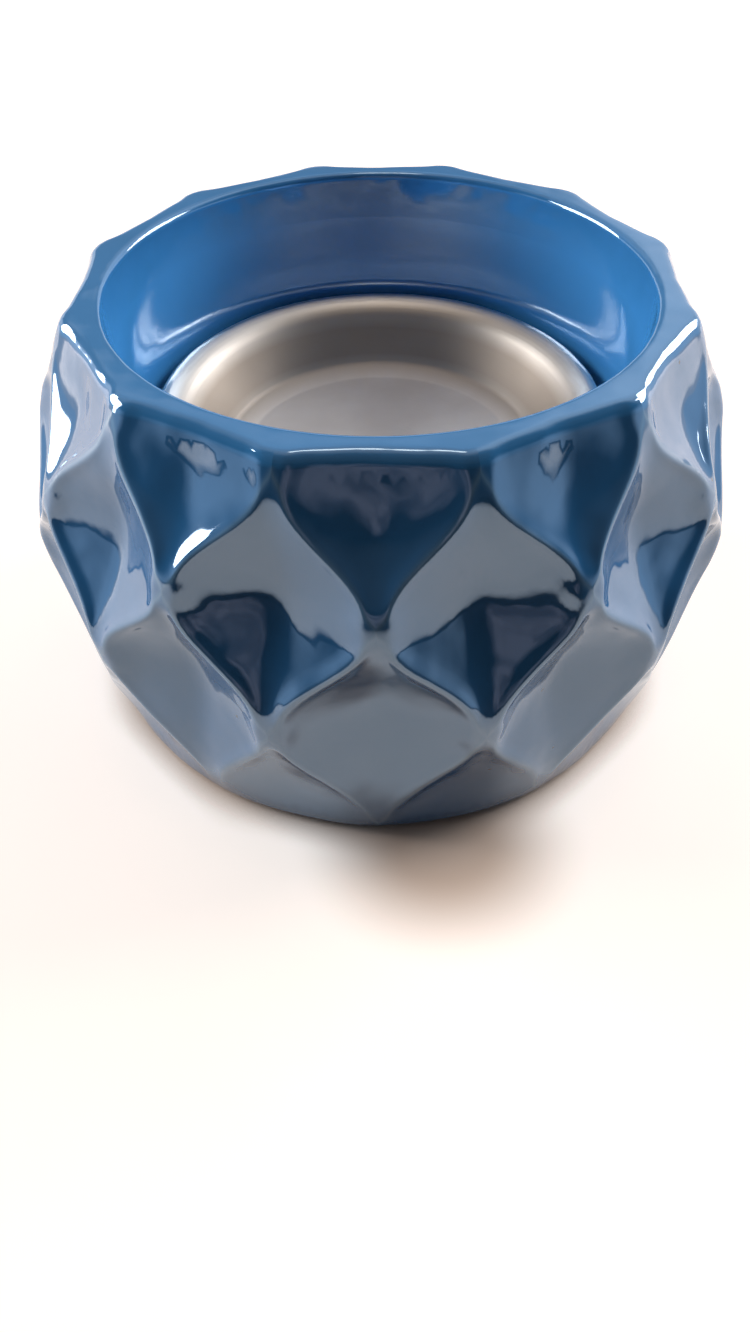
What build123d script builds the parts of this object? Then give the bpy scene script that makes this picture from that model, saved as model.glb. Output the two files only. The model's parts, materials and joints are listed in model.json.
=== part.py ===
from build123d import *
import math
import os
import numpy as np

# Ceramic body: four rows of ridge crossings, from the rim down to the toe on the underside
facets_around = 12
rim_height = 77.8
shoulder_height = 56.3
belly_height = 34.1
rim_band = 6.4
shoulder_swell = 10.5
belly_swell = 3.4
toe_taper = 7.7
ridge_swing = 0.75
rim_dip = 1.0
shoulder_dip = 1.2
belly_dip = 1.2
toe_dip = 0.4
rim_dish = 0.9
shoulder_dish = 4.6
belly_dish = 4.6
toe_dish = 0.3
patch_degree = 5

# Well, ledge and hollow of the ceramic
well_draft = 2.7
lip_round = 1.6
ledge_drop = 31.8
ledge_thickness = 6.0
well_wall = 5.0
outer_wall = 5.5
pocket_drop = 13.0

# Wax pan, round which the pot is made
pan_crest_drop = 21.6
pan_depth = 12.4
pan_sheet = 0.8
pan_brim_radius = 41.2
pan_brim_width = 4.8
pan_brim_fall = 1.7
pan_wall_lean = 6.6
pan_corner_width = 3.8
pan_corner_rise = 1.3
pan_hem_flare = 1.1
pan_hem_drop = 4.8
pan_floor_round = 2.2
pan_brim_round = 6.0
pan_crest_round = 2.0

# Heater cup and hot plate
sheet = 0.8
gasket_thickness = 1.5
cup_floor_drop = 22.3
plate_radius = 29.5
plate_thickness = 4.0
spacer_circle = 25.0
spacer_radius = 3.5
pad_thickness = 4.0

# Heater stack
stone_length = 18.0
stone_width = 12.0
stone_thickness = 2.2
stone_gap = 2.0
electrode_thickness = 0.5
insulator_thickness = 1.0
insulator_margin = 1.5
tab_length = 6.0
tab_width = 5.0
tab_offset = 9.0
bridge_length = 56.0
bridge_width = 14.0
bridge_thickness = 1.2
bridge_hole_edge = 4.0
boss_radius = 3.2

# Thermal fuse and leads
fuse_radius = 2.0
fuse_length = 11.0
fuse_offset = 15.0
clip_width = 5.0
clip_sheet = 0.6
lead_radius = 0.9
lead_spacing = 3.2
grommet_offset = 14.0
grommet_bore = 3.2
grommet_wall = 1.6
grommet_flange = 1.6
grommet_lip = 1.2

# Base, pillars and feet
foot_proud = 1.5
foot_radius = 5.0
foot_socket_depth = 1.2
foot_inset = 9.2
foot_count = 4
base_recess = 0.5
toe_wall = 6.6
base_thickness = 3.0
base_gasket_thickness = 1.0
base_seat_width = 4.5
pillar_circle = 22.0
pillar_radius = 4.0
vent_length = 10.0
vent_width = 2.4
vent_circle = 33.0
vent_count = 7
vent_pitch = 20.0

# Screws
screw_radius = 1.5
screw_head_radius = 2.8
screw_head_height = 2.0
screw_grip = 7.0
plate_screw_bite = 3.0

# Cord gland in the back wall
gland_height = 25.0
gland_bore = 3.2
gland_body_radius = 5.2
gland_flange_radius = 8.0
gland_flange_thickness = 2.2
gland_seat_depth = 6.6
gland_grip = 6.0
gland_nut_radius = 8.0
gland_nut_thickness = 3.0
gland_tail = 1.5

# Terminal block
block_length = 26.0
block_width = 14.0
block_height = 12.0
block_offset = 31.0
pole_pitch = 12.0
pole_reach = 4.0
terminal_screw_radius = 1.7
terminal_screw_length = 5.0

# Clearances
fit = 0.3
pan_seat = 0.0
pan_gap = 1.2
pan_cup_gap = 5.4
cup_gap = 1.0
flange_gap = 1.0
pad_gap = 1.7

half_pitch = math.pi / facets_around
ceramic_bottom = foot_proud
rim_top = ceramic_bottom + rim_height
ledge_top = rim_top - ledge_drop
ledge_bottom = ledge_top - ledge_thickness
crest_top = rim_top - pan_crest_drop
pan_floor_top = crest_top - pan_depth
pan_floor_bottom = pan_floor_top - pan_sheet
pan_mouth_radius = pan_brim_radius - pan_brim_width
pan_corner_radius = pan_mouth_radius - pan_wall_lean
pan_floor_radius = pan_corner_radius - pan_corner_width
well_foot_radius = pan_brim_radius + pan_hem_flare + pan_gap
well_mouth_radius = well_foot_radius + well_draft
rim_radius = well_mouth_radius + rim_band
shoulder_radius = rim_radius + shoulder_swell
belly_radius = shoulder_radius + belly_swell
toe_radius = belly_radius - toe_taper
cup_radius = pan_corner_radius + pan_cup_gap + sheet
cup_flange_radius = well_foot_radius - flange_gap
ledge_hole_radius = cup_radius + cup_gap
pad_radius = cup_radius - sheet - pad_gap
bridge_hole_offset = bridge_length / 2 - bridge_hole_edge
plate_top = pan_floor_bottom - pan_seat
plate_bottom = plate_top - plate_thickness
flange_bottom = ledge_top + gasket_thickness
flange_top = flange_bottom + sheet
cup_floor_top = flange_top - cup_floor_drop
cup_floor_bottom = cup_floor_top - sheet
base_bottom = ceramic_bottom + base_recess
base_top = base_bottom + base_thickness
base_step = base_top + base_gasket_thickness
base_radius = toe_radius - toe_wall
foot_circle = base_radius - foot_inset
hollow_radius = base_radius - base_seat_width
gland_seat = belly_radius - gland_seat_depth
gland_inner_seat = gland_seat - gland_grip


def row_value(values, row):
    """Cubic through the four row values, also used a row past either end."""
    total = 0.0
    for here, value in enumerate(values):
        weight = 1.0
        for other in range(4):
            if other != here:
                weight = weight * (row - other) / (here - other)
        total = total + value * weight
    return total


def height_at(row):
    rows = (rim_height, shoulder_height, belly_height, 0)
    return ceramic_bottom + row_value(rows, row)


def crossing_radius_at(row):
    return row_value((rim_radius, shoulder_radius, belly_radius, toe_radius), row)


def swing(t):
    """Share of half a facet that a ridge has swung sideways, steep at the crossings."""
    return (1 - ridge_swing) * t + ridge_swing * t * t * (3 - 2 * t)


def facet_point(top_row, centre_angle, u, v):
    """Point of one concave facet: u runs down to the right, v down to the left."""
    row = top_row + u + v
    angle = centre_angle + half_pitch * (swing(u) - swing(v))
    bow_u = 4 * u * (1 - u)
    bow_v = 4 * v * (1 - v)
    dip = row_value((rim_dip, shoulder_dip, belly_dip, toe_dip), row)
    dish = row_value((rim_dish, shoulder_dish, belly_dish, toe_dish), row)
    sink = dip * (bow_u**2 + bow_v**2 - bow_u**2 * bow_v**2) + dish * bow_u * bow_v
    radius = crossing_radius_at(row) - sink
    return (radius * math.sin(angle), -radius * math.cos(angle), height_at(row))


def bezier_rows(samples):
    """Control points whose surface passes through an evenly spaced square of samples."""
    count = samples.shape[0]
    share = np.linspace(0, 1, count)
    degree = count - 1
    basis = np.array([[math.comb(degree, k) * t**k * (1 - t) ** (degree - k) for k in range(count)] for t in share])
    inverse = np.linalg.inv(basis)
    return np.einsum("ia,jb,abk->ijk", inverse, inverse, samples)


def facet_face(top_row, centre_angle):
    share = [k / patch_degree for k in range(patch_degree + 1)]
    samples = np.array([[facet_point(top_row, centre_angle, u, v) for v in share] for u in share])
    control = bezier_rows(samples)
    return control, Face.make_bezier_surface([[Vector(*p) for p in line] for line in control])


def closing_face(edge_points, centre):
    """Ruled strip from an outer facet edge in to the small polygon that closes the shell."""
    first = Vector(*edge_points[0])
    last = Vector(*edge_points[-1])
    inner_first = centre + (first - centre) * 0.3
    inner_last = centre + (last - centre) * 0.3
    inner_first = Vector(inner_first.X, inner_first.Y, centre.Z)
    inner_last = Vector(inner_last.X, inner_last.Y, centre.Z)
    steps = len(edge_points) - 1
    inner = [inner_first + (inner_last - inner_first) * (k / steps) for k in range(steps + 1)]
    strip = Face.make_bezier_surface([[Vector(*p) for p in edge_points], inner])
    return strip, inner_first, inner_last


def faceted_solid():
    faces = []
    top_centre = Vector(0, 0, height_at(-1))
    low_centre = Vector(0, 0, height_at(4))
    top_ring = []
    low_ring = []
    for top_row in (-1, 0, 1, 2):
        for k in range(facets_around):
            centre_angle = half_pitch * (2 * k + (0 if top_row % 2 else 1))
            control, face = facet_face(top_row, centre_angle)
            faces.append(face)
            if top_row == -1:
                left, left_a, left_b = closing_face(control[0, :], top_centre)
                right, right_a, right_b = closing_face(control[:, 0], top_centre)
                faces += [left, right]
                top_ring += [left_b, right_a]
            if top_row == 2:
                left, left_a, left_b = closing_face(control[:, -1], low_centre)
                right, right_a, right_b = closing_face(control[-1, :], low_centre)
                faces += [left, right]
                low_ring += [left_a, right_b]
    faces.append(Face(Wire.make_polygon(top_ring, close=True)))
    faces.append(Face(Wire.make_polygon(low_ring, close=True)))
    return Solid(Shell(faces))


def disc(radius, bottom, top):
    return Pos(0, 0, bottom) * Cylinder(radius, top - bottom, align=(Align.CENTER, Align.CENTER, Align.MIN))


def ring(outer, inner, bottom, top):
    return disc(outer, bottom, top) - disc(inner, bottom, top)


def block(length, width, bottom, top):
    return Pos(0, 0, bottom) * Box(length, width, top - bottom, align=(Align.CENTER, Align.CENTER, Align.MIN))


def around(radius, angles):
    return [Pos(radius * math.cos(math.radians(a)), radius * math.sin(math.radians(a)), 0) for a in angles]


def spun(points):
    return revolve(make_face(Plane.XZ * Polyline(*points, close=True)), Axis.Z)


def along_y(radius, start, end, height):
    rod = Cylinder(radius, end - start, align=(Align.CENTER, Align.CENTER, Align.MIN))
    return Pos(0, start, height) * Rot(-90, 0, 0) * rod


def screw_up(head_bottom, length):
    head = disc(screw_head_radius, head_bottom, head_bottom + screw_head_height)
    shank = disc(screw_radius, head_bottom + screw_head_height, head_bottom + screw_head_height + length)
    return head + shank


def screw_down(seat, length):
    return disc(screw_head_radius, seat, seat + screw_head_height) + disc(screw_radius, seat - length, seat)


def lead(points, bends):
    path = FilletPolyline(*points, radius=bends)
    section = Plane(origin=points[0], z_dir=path % 0) * Circle(lead_radius)
    return sweep(section, path=path)


spacer_spots = around(spacer_circle, (90, 210, 330))
pillar_spots = around(pillar_circle, (30, 150, 270))
foot_spots = around(foot_circle, [360 / foot_count * (k + 0.5) for k in range(foot_count)])


def make_ceramic_body():
    shell = faceted_solid() & disc(belly_radius * 1.5, ceramic_bottom, rim_top)
    well = spun([
        (0, ledge_top),
        (well_foot_radius, ledge_top),
        (well_mouth_radius, rim_top - lip_round),
        (well_mouth_radius + lip_round * 0.3, rim_top - lip_round * 0.3),
        (well_mouth_radius + lip_round, rim_top),
        (well_mouth_radius + lip_round, rim_top + lip_round),
        (0, rim_top + lip_round),
    ])
    pocket_top = rim_top - pocket_drop
    pocket_in = well_mouth_radius + well_wall - 1.5
    lowest_belly = belly_radius - belly_dip - belly_dish - outer_wall
    hollow = spun([
        (0, base_step),
        (hollow_radius, base_step),
        (hollow_radius, base_step + 4),
        (lowest_belly - 1.5, ceramic_bottom + belly_height * 0.6),
        (lowest_belly - 2.0, ceramic_bottom + belly_height * 1.3),
        (pocket_in + 1.5, pocket_top),
        (pocket_in, pocket_top),
        (well_foot_radius + well_wall, ledge_bottom + 2),
        (well_foot_radius + well_wall - 2, ledge_bottom),
        (0, ledge_bottom),
    ])
    body = shell - well - hollow - disc(ledge_hole_radius, ledge_bottom - 1, ledge_top + 1)
    body -= disc(base_radius + fit, ceramic_bottom - 1, base_step)
    body -= along_y(gland_body_radius + fit, 40, belly_radius + 5, gland_height)
    body -= along_y(gland_flange_radius + fit, gland_seat, belly_radius + 5, gland_height)
    body -= along_y(gland_nut_radius + 2 * fit, 40, gland_inner_seat, gland_height)
    return body


def make_wax_pan():
    line = FilletPolyline(
        (0, pan_floor_top),
        (pan_floor_radius, pan_floor_top),
        (pan_corner_radius, pan_floor_top + pan_corner_rise),
        (pan_mouth_radius, crest_top - pan_brim_fall),
        (pan_brim_radius, crest_top),
        (pan_brim_radius + pan_hem_flare, crest_top - pan_hem_drop),
        radius=[pan_floor_round, pan_floor_round, pan_brim_round, pan_crest_round],
    )
    section = make_face(offset(line, amount=pan_sheet, side=Side.RIGHT, closed=True))
    return revolve(Plane.XZ * section, Axis.Z)


def make_heater_cup():
    cup = ring(cup_flange_radius, cup_radius - sheet, flange_bottom, flange_top)
    cup += ring(cup_radius, cup_radius - sheet, cup_floor_bottom, flange_top)
    cup += disc(cup_radius, cup_floor_bottom, cup_floor_top)
    for spot in spacer_spots + pillar_spots:
        cup -= spot * disc(screw_radius + fit, cup_floor_bottom - 1, cup_floor_top + 1)
    grommet_hole = grommet_bore + grommet_wall + fit
    cup -= Pos(0, grommet_offset, 0) * disc(grommet_hole, cup_floor_bottom - 1, cup_floor_top + 1)
    return cup


stone_span = 2 * stone_length + stone_gap
stack = {}
level = plate_bottom
for name, thickness in (
    ("insulator_upper", insulator_thickness),
    ("electrode_upper", electrode_thickness),
    ("ptc_stones", stone_thickness),
    ("electrode_lower", electrode_thickness),
    ("insulator_lower", insulator_thickness),
    ("clamp_bridge", bridge_thickness),
):
    stack[name] = (level - thickness, level)
    level = level - thickness


def make_hot_plate():
    plate = disc(plate_radius, plate_bottom, plate_top)
    boss_bottom = stack["clamp_bridge"][1]
    for side in (-1, 1):
        plate += Pos(side * bridge_hole_offset, 0, 0) * disc(boss_radius, boss_bottom, plate_bottom)
        tap = disc(screw_radius + fit, boss_bottom - 1, boss_bottom + screw_grip)
        plate -= Pos(side * bridge_hole_offset, 0, 0) * tap
    for spot in spacer_spots:
        plate -= spot * disc(screw_radius + fit, plate_bottom - 1, plate_bottom + plate_screw_bite)
    plate -= Pos(0, -fuse_offset - 7, 0) * disc(screw_radius + fit, plate_bottom - 1, plate_bottom + plate_screw_bite)
    return plate


def make_electrode(name, side):
    bottom, top = stack[name]
    tab = Box(tab_width, tab_length, top - bottom, align=(Align.CENTER, Align.CENTER, Align.MIN))
    tab_place = Pos(tab_offset, side * (stone_width / 2 + tab_length / 2), bottom)
    return block(stone_span, stone_width, bottom, top) + tab_place * tab


def make_insulator(name):
    bottom, top = stack[name]
    return block(stone_span + 2 * insulator_margin, stone_width + 2 * insulator_margin, bottom, top)


def make_ptc_stones():
    bottom, top = stack["ptc_stones"]
    centre = (stone_length + stone_gap) / 2
    return [Pos(side * centre, 0, 0) * block(stone_length, stone_width, bottom, top) for side in (-1, 1)]


def make_clamp_bridge():
    bottom, top = stack["clamp_bridge"]
    bridge = block(bridge_length, bridge_width, bottom, top)
    for side in (-1, 1):
        bridge -= Pos(side * bridge_hole_offset, 0, 0) * disc(screw_radius + fit, bottom - 1, top + 1)
    return bridge


def make_clamp_screws():
    head_bottom = stack["clamp_bridge"][0] - screw_head_height
    screw = screw_up(head_bottom, bridge_thickness + screw_grip - 1)
    return [Pos(side * bridge_hole_offset, 0, 0) * screw for side in (-1, 1)]


def make_insulation_pad():
    top = cup_floor_top + pad_thickness
    pad = disc(pad_radius, cup_floor_top, top)
    for spot in spacer_spots:
        pad -= spot * disc(spacer_radius + fit, cup_floor_top - 1, top + 1)
    for spot in pillar_spots:
        pad -= spot * disc(screw_head_radius + fit, cup_floor_top - 1, top + 1)
    grommet_room = grommet_bore + grommet_wall + grommet_lip + fit
    pad -= Pos(0, grommet_offset, 0) * disc(grommet_room, cup_floor_top - 1, top + 1)
    return pad


fuse_height = plate_bottom - fuse_radius - clip_sheet - fit
clip_screw_y = -fuse_offset - 7


def make_thermal_fuse():
    rod = Cylinder(fuse_radius, fuse_length, align=(Align.CENTER, Align.CENTER, Align.CENTER))
    return Pos(0, -fuse_offset, fuse_height) * Rot(0, 90, 0) * rod


def make_fuse_clip():
    outer = fuse_radius + fit + clip_sheet
    hoop = Cylinder(outer, clip_width) - Cylinder(fuse_radius + fit, clip_width + 2)
    clip = Pos(0, -fuse_offset, fuse_height) * Rot(0, 90, 0) * hoop
    tab_end = clip_screw_y - screw_head_radius
    tab = Box(clip_width, -fuse_offset - tab_end, clip_sheet, align=(Align.CENTER, Align.MIN, Align.MAX))
    clip += Pos(0, tab_end, plate_bottom) * tab
    clip -= Pos(0, -fuse_offset, fuse_height) * Rot(0, 90, 0) * Cylinder(fuse_radius + fit, clip_width + 2)
    clip -= Pos(0, clip_screw_y, 0) * disc(screw_radius + fit, plate_bottom - 2, plate_bottom + 1)
    return clip


def make_fuse_clip_screw():
    head_bottom = plate_bottom - clip_sheet - screw_head_height
    return Pos(0, clip_screw_y, 0) * screw_up(head_bottom, clip_sheet + plate_screw_bite - 0.5)


def make_lead_grommet():
    neck = grommet_bore + grommet_wall
    flange = neck + grommet_lip
    body = disc(neck, cup_floor_bottom - grommet_flange, cup_floor_top + grommet_flange)
    body += disc(flange, cup_floor_bottom - grommet_flange, cup_floor_bottom)
    body += disc(flange, cup_floor_top, cup_floor_top + grommet_flange)
    body -= disc(grommet_bore, cup_floor_bottom - 5, cup_floor_top + 5)
    return Pos(0, grommet_offset, 0) * body


block_front = block_offset - block_width / 2
lead_exit_height = base_top + block_height * 0.5
lead_run_height = cup_floor_top + pad_thickness + lead_radius + fit


def lead_up(side):
    """Route of one lead from the terminal block up through the grommet."""
    return [
        (side * pole_pitch / 2, block_front, lead_exit_height),
        (side * pole_pitch / 2, block_front - 6, lead_exit_height),
        (side * lead_spacing / 2, grommet_offset, cup_floor_bottom - 7),
        (side * lead_spacing / 2, grommet_offset, lead_run_height),
    ]


def make_lead_live():
    reach = bridge_hole_offset / 2
    route = lead_up(-1) + [
        (-reach, bridge_width / 2 - 3, lead_run_height),
        (-reach, -bridge_width / 2 - 2, lead_run_height),
        (-reach, -fuse_offset, fuse_height),
        (-fuse_length / 2, -fuse_offset, fuse_height),
    ]
    return lead(route, [3, 3, 2.5, 4, 3, 2.5])


def make_lead_fuse():
    tab_y = -(stone_width / 2 + tab_length * 0.6)
    route = [
        (fuse_length / 2, -fuse_offset, fuse_height),
        (tab_offset, -fuse_offset, fuse_height),
        (tab_offset, tab_y, fuse_height - 1.2),
        (tab_offset, tab_y, stack["electrode_upper"][0]),
    ]
    return lead(route, [2, 1.5])


def make_lead_neutral():
    tab_y = stone_width / 2 + tab_length * 0.6
    tab_under = stack["electrode_lower"][0]
    route = lead_up(1) + [
        (tab_offset, tab_y, tab_under - 3.2),
        (tab_offset, tab_y, tab_under),
    ]
    return lead(route, [3, 3, 2, 1.8])


def make_tie_pillars():
    pillar = disc(pillar_radius, base_top, cup_floor_bottom)
    hole = screw_radius + fit
    pillar -= disc(hole, base_top - 1, base_top + screw_grip + 1)
    pillar -= disc(hole, cup_floor_bottom - screw_grip - 1, cup_floor_bottom + 1)
    return [spot * pillar for spot in pillar_spots]


def make_base_plate():
    plate = disc(base_radius, base_bottom, base_top)
    for spot in foot_spots:
        plate -= spot * disc(foot_radius + fit, base_bottom - 1, base_bottom + foot_socket_depth)
    for spot in pillar_spots:
        plate -= spot * disc(screw_radius + fit, base_bottom - 1, base_top + 1)
        plate -= spot * disc(screw_head_radius + fit, base_bottom - 1, base_bottom + screw_head_height * 0.6)
    plate -= Pos(0, block_offset, 0) * disc(screw_radius + fit, base_bottom + 0.8, base_top + 1)
    slot = extrude(SlotOverall(vent_length, vent_width), base_thickness + 2)
    first = -90 - vent_pitch * (vent_count - 1) / 2
    for k in range(vent_count):
        plate -= Rot(0, 0, first + vent_pitch * k) * Pos(vent_circle, 0, base_bottom - 1) * slot
    return plate


def make_base_screws():
    head_bottom = base_bottom + screw_head_height * 0.6 - screw_head_height
    through = base_top - head_bottom - screw_head_height
    return [spot * screw_up(head_bottom, through + screw_grip) for spot in pillar_spots]


def make_cord_gland():
    gland = along_y(gland_flange_radius, gland_seat, gland_seat + gland_flange_thickness, gland_height)
    inner_end = gland_inner_seat - gland_nut_thickness - gland_tail
    gland += along_y(gland_body_radius, inner_end, gland_seat, gland_height)
    return gland - along_y(gland_bore, inner_end - 1, gland_seat + gland_flange_thickness + 1, gland_height)


def make_gland_nut():
    hexagon = extrude(RegularPolygon(gland_nut_radius, 6), gland_nut_thickness)
    nut = Pos(0, gland_inner_seat - gland_nut_thickness, gland_height) * Rot(-90, 0, 0) * hexagon
    return nut - along_y(gland_body_radius + fit, 40, gland_inner_seat + 1, gland_height)


terminal_spots = [
    Pos(side * pole_pitch / 2, block_offset + row * pole_reach, 0) for side in (-1, 1) for row in (-1, 1)
]


def make_terminal_block():
    body = Pos(0, block_offset, 0) * block(block_length, block_width, base_top, base_top + block_height)
    top = base_top + block_height
    for spot in terminal_spots:
        body -= spot * disc(terminal_screw_radius + fit, top - terminal_screw_length, top + 1)
    body -= Pos(0, block_offset, 0) * disc(screw_radius + fit, base_top - 1, top + 1)
    body -= Pos(0, block_offset, 0) * disc(screw_head_radius + fit, top - block_height / 2, top + 1)
    return body


def make_terminal_screws():
    top = base_top + block_height
    screw = disc(terminal_screw_radius, top - terminal_screw_length, top - 0.5)
    slot = block(2 * terminal_screw_radius + 1, 0.6, top - 1.3, top)
    return [spot * (screw - slot) for spot in terminal_spots]


def make_block_screw():
    seat = base_top + block_height / 2
    return Pos(0, block_offset, 0) * screw_down(seat, block_height / 2 + base_thickness - 1.3)


pillar_screw = screw_down(cup_floor_top, sheet + screw_grip)
plate_screw = screw_up(cup_floor_bottom - screw_head_height, plate_bottom - cup_floor_bottom + plate_screw_bite - 0.5)
spacer = ring(spacer_radius, screw_radius + fit, cup_floor_top, plate_bottom)
foot = disc(foot_radius, 0, base_bottom + foot_socket_depth)

nodes = {
    "ceramic_body": make_ceramic_body(),
    "wax_pan": make_wax_pan(),
    "ledge_gasket": ring(cup_flange_radius, ledge_hole_radius + 0.5, ledge_top, flange_bottom),
    "heater_cup": make_heater_cup(),
    "hot_plate": make_hot_plate(),
    "insulator_upper": make_insulator("insulator_upper"),
    "electrode_upper": make_electrode("electrode_upper", -1),
    "ptc_stones": make_ptc_stones(),
    "electrode_lower": make_electrode("electrode_lower", 1),
    "insulator_lower": make_insulator("insulator_lower"),
    "clamp_bridge": make_clamp_bridge(),
    "clamp_screws": make_clamp_screws(),
    "plate_spacers": [spot * spacer for spot in spacer_spots],
    "plate_screws": [spot * plate_screw for spot in spacer_spots],
    "insulation_pad": make_insulation_pad(),
    "thermal_fuse": make_thermal_fuse(),
    "fuse_clip": make_fuse_clip(),
    "fuse_clip_screw": make_fuse_clip_screw(),
    "lead_grommet": make_lead_grommet(),
    "lead_live": make_lead_live(),
    "lead_fuse": make_lead_fuse(),
    "lead_neutral": make_lead_neutral(),
    "tie_pillars": make_tie_pillars(),
    "pillar_screws": [spot * pillar_screw for spot in pillar_spots],
    "base_plate": make_base_plate(),
    "base_gasket": ring(base_radius, hollow_radius + 0.5, base_top, base_step),
    "base_screws": make_base_screws(),
    "rubber_feet": [spot * foot for spot in foot_spots],
    "cord_gland": make_cord_gland(),
    "gland_nut": make_gland_nut(),
    "terminal_block": make_terminal_block(),
    "terminal_screws": make_terminal_screws(),
    "block_screw": make_block_screw(),
}

os.makedirs("parts", exist_ok=True)
for name, shape in nodes.items():
    export_step(Compound(children=shape) if isinstance(shape, list) else shape, f"parts/{name}.step")
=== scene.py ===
import json
import math

import bmesh
import bpy
import mathutils
import numpy as np
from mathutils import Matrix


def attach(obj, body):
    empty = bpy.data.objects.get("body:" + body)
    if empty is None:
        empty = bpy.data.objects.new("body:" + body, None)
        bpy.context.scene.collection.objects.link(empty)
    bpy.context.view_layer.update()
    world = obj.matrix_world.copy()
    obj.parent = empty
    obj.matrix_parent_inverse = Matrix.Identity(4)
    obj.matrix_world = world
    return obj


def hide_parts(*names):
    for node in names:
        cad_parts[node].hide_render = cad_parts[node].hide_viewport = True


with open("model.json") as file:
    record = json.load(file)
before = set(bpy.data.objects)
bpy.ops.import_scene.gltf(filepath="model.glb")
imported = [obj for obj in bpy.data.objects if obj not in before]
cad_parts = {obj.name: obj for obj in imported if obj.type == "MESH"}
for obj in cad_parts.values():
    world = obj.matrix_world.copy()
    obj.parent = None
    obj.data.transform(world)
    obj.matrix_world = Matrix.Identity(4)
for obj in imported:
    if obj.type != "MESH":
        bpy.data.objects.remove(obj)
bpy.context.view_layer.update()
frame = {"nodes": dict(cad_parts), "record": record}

# Ceramic relief in millimetres. Rows run from the ridge crossings at the rim (0) down to those at the toe (3),
# and their heights are above the ceramic's underside.
MM = 0.001
FACETS = 12
HALF_PITCH = math.pi / FACETS
GRID = 28
CERAMIC_BOTTOM = 1.5
ROW_HEIGHTS = (77.8, 56.3, 34.1, 0.0)
ROW_RADII = (52.6, 63.1, 66.5, 58.8)
ROW_DIPS = (1.0, 1.2, 1.2, 0.0)
ROW_DISHES = (0.9, 5.2, 5.2, -0.2)
ROW_STEPS = (0.0, 0.6, 0.6, 0.0)
RIDGE_SOFTNESS = 0.10
VALLEY_SOFTNESS = 0.12
NECK_PUSH = 0.085
RIM_ROUND = 1.7
TOE_ROUND = 1.2

# Well, ledge, hollow and base of the ceramic, as radii and heights above the ground
RIM_TOP = CERAMIC_BOTTOM + ROW_HEIGHTS[0]
WELL_MOUTH = 46.2
WELL_FOOT = 43.5
WELL_FILLET = 2.5
LIP_ROUND = 1.3
LEDGE_TOP = 47.5
LEDGE_BOTTOM = 41.5
LEDGE_HOLE = 37.0
LEDGE_EDGE = 0.8
HOLLOW = 47.7
BASE_STEP = 6.0
BASE_RECESS = 52.5
RECESS_EDGE = 0.5

# Cord gland in the back wall: hole radii, and how far back its seat and its nut pocket lie
GLAND_HEIGHT = 25.0
GLAND_HOLE = 5.5
GLAND_SEAT_HOLE = 8.3
GLAND_POCKET_HOLE = 8.6
GLAND_SEAT = 59.9
GLAND_POCKET = 53.9
INSIDE_WALL = 40.0
OUTSIDE_WALL = 75.0


# Shapes

def row_value(values, row):
    """Cubic through the values at rows 0 to 3, worked out at any row."""
    total = 0.0
    for here in range(4):
        weight = 1.0
        for other in range(4):
            if other != here:
                weight = weight * (row - other) / (here - other)
        total = total + values[here] * weight
    return total


def swing(t):
    """Sideways share of a ridge: a smooth step, so ridges stand up at the crossings."""
    return t * t * (3 - 2 * t)


def softened(distance, softness):
    """A distance that starts off as a parabola, so that the form it drives is rounded, and then runs straight."""
    return np.sqrt(distance * distance + softness**2) - softness


def hollow(across, along):
    """Depth share of a facet: 0 on its ridges, rising evenly inwards from both sides to a rounded upright valley."""
    width = np.where(along < 1, swing(along), 1 - swing(along - 1))
    valley = width * softened(across, VALLEY_SOFTNESS) / (softened(width, VALLEY_SOFTNESS) + 1e-9)
    return softened(width - valley, RIDGE_SOFTNESS) / softened(1.0, RIDGE_SOFTNESS)


def eased_rows(row):
    """Rows drawn in a little at the rim and the toe, to leave room for their rounded edges."""
    rim = RIM_ROUND / (ROW_HEIGHTS[0] - ROW_HEIGHTS[1])
    toe = TOE_ROUND / (ROW_HEIGHTS[2] - ROW_HEIGHTS[3])
    row = np.where(row < 1, rim + row * (1 - rim), row)
    return np.where(row > 2, 2 + (row - 2) * (1 - toe), row)


def neck_push(across, along):
    """Sideways push away from a crossing's upright line, which spreads the two ridges there into a neck."""
    return NECK_PUSH * np.tanh(across / 0.03) * np.exp(-(across / 0.3) ** 2 - (along / 0.23) ** 2)


def neck_fill(across, along):
    """Share of the hollow that is left near a crossing: none at the neck, all of it a few millimetres away."""
    return 1 - np.exp(-(across / 0.13) ** 2 - (along / 0.16) ** 2)


def unevenness(angle, row):
    """Slow waves of a hand-finished surface: four sines of the angle and the row, under 0.2 mm in all."""
    waves = ((17, 5.2, 0.050), (23, -7.1, 0.035), (11, 9.3, 0.050), (31, 3.7, 0.025))
    return sum(size * np.sin(count * angle + pace * row) for count, pace, size in waves)


def round_axis(radius, angle, height):
    """Points at a radius and a height, with the angle counted from the front."""
    return np.stack(np.broadcast_arrays(radius * np.sin(angle), -radius * np.cos(angle), height), -1)


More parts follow.
